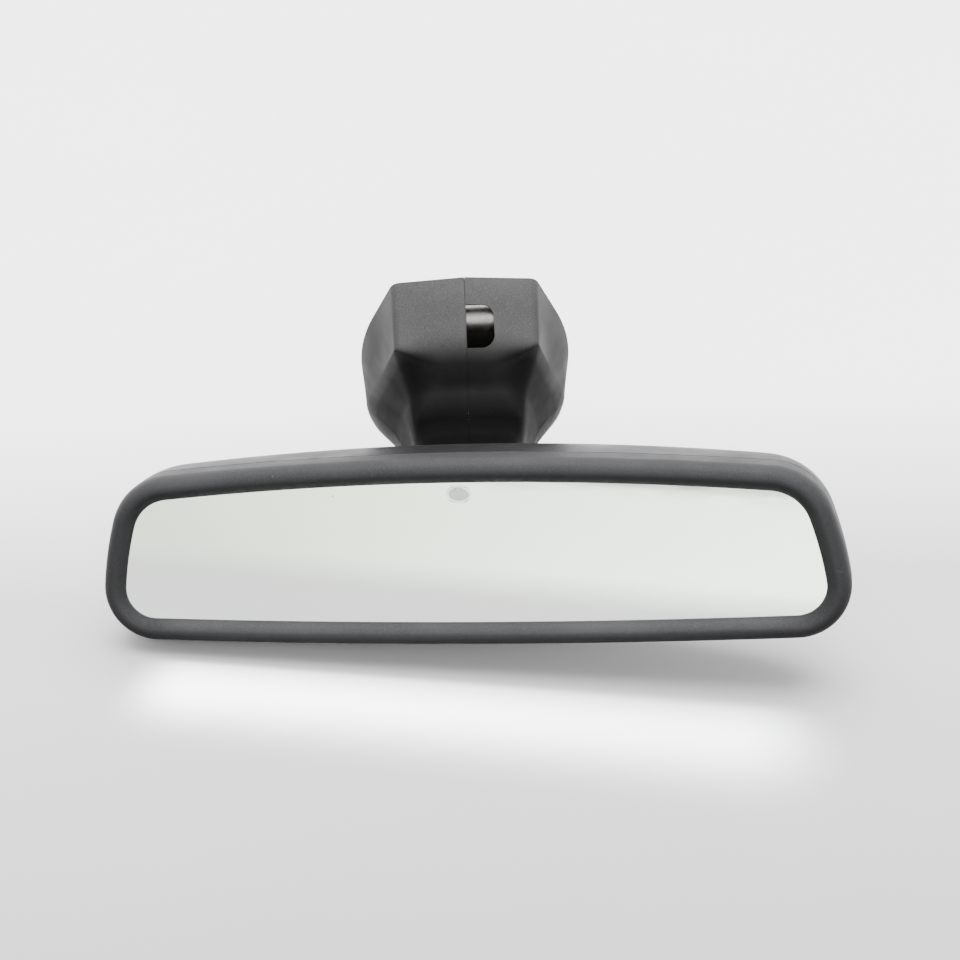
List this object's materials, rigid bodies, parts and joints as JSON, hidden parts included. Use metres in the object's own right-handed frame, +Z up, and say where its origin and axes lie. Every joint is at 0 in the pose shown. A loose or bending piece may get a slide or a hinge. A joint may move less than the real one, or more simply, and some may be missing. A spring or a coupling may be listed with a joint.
{
  "type": "interior rearview mirror",
  "caption": "Car interior rearview mirror: a wide self-dimming glass in a rounded black frame, on a ball joint, with a covered foot that clips to a windscreen button.",
  "frame": {"origin": "centre of the foot's round socket, in the plane of the foot's face on the windscreen", "axes": "+X to the driver's right along the head, +Y forwards towards the windscreen, +Z up; the glass faces -Y and is tilted back and turned as left on its ball joint"},
  "size_m": [0.2492, 0.1643, 0.1046],
  "materials": {
    "zinc": "die-cast, bare, matt",
    "spring_steel": "bare spring strip",
    "plated_steel": "zinc-plated",
    "cover_plastic": "fine-grained",
    "housing_plastic": "fine-grained",
    "bezel_plastic": "satin, fine-grained",
    "nylon": "natural",
    "mirror_glass": "slightly green mirror",
    "window_glass": "half-silvered",
    "clear_glass": "clear",
    "seal": "matt",
    "contact_metal": "plated",
    "foam": "closed-cell foam",
    "board": "solder mask",
    "chip_plastic": "moulded",
    "light_pipe": "clear",
    "lens_plastic": "smoked"
  },
  "bodies": {
    "foot": {"mount_foot": "zinc", "retaining_spring": "spring_steel", "spring_rivets": "plated_steel", "ball_stud": "plated_steel", "stud_screw": "plated_steel", "cover_left": "cover_plastic", "cover_right": "cover_plastic"},
    "liner": {"ball_liner": "nylon"},
    "cup": {"socket_cup": "nylon"},
    "head": {"socket_bracket": "plated_steel", "preload_spring": "spring_steel", "retainer_ring": "spring_steel", "bracket_screws": "plated_steel", "rear_housing": "housing_plastic", "front_bezel": "bezel_plastic", "mirror_glass": "mirror_glass", "sensor_window": "window_glass", "cell_seal": "seal", "rear_pane": "clear_glass", "bus_clips": "contact_metal", "foam_pad": "foam", "carrier_plate": "housing_plastic", "circuit_board": "board", "board_chips": "chip_plastic", "board_screws": "plated_steel", "glare_sensor": "light_pipe", "ambient_sensor": "chip_plastic", "ambient_lens": "lens_plastic", "connector_header": "chip_plastic", "connector_pins": "contact_metal"}
  },
  "joints": [
    {"name": "head_yaw", "type": "hinge", "parent": "foot", "child": "liner", "pos_m": [0, -0.08237, -0.02571], "axis": [0, 0, 1], "range_deg": [-6, 20]},
    {"name": "head_pitch", "type": "hinge", "parent": "liner", "child": "cup", "pos_m": [0, -0.08237, -0.02571], "axis": [0.9781, -0.2079, 0], "range_deg": [-4, 16]},
    {"name": "head_roll", "type": "hinge", "parent": "cup", "child": "head", "pos_m": [0, -0.08237, -0.02571], "axis": [0.2017, 0.9491, -0.2419], "range_deg": [-5, 9]}
  ]
}
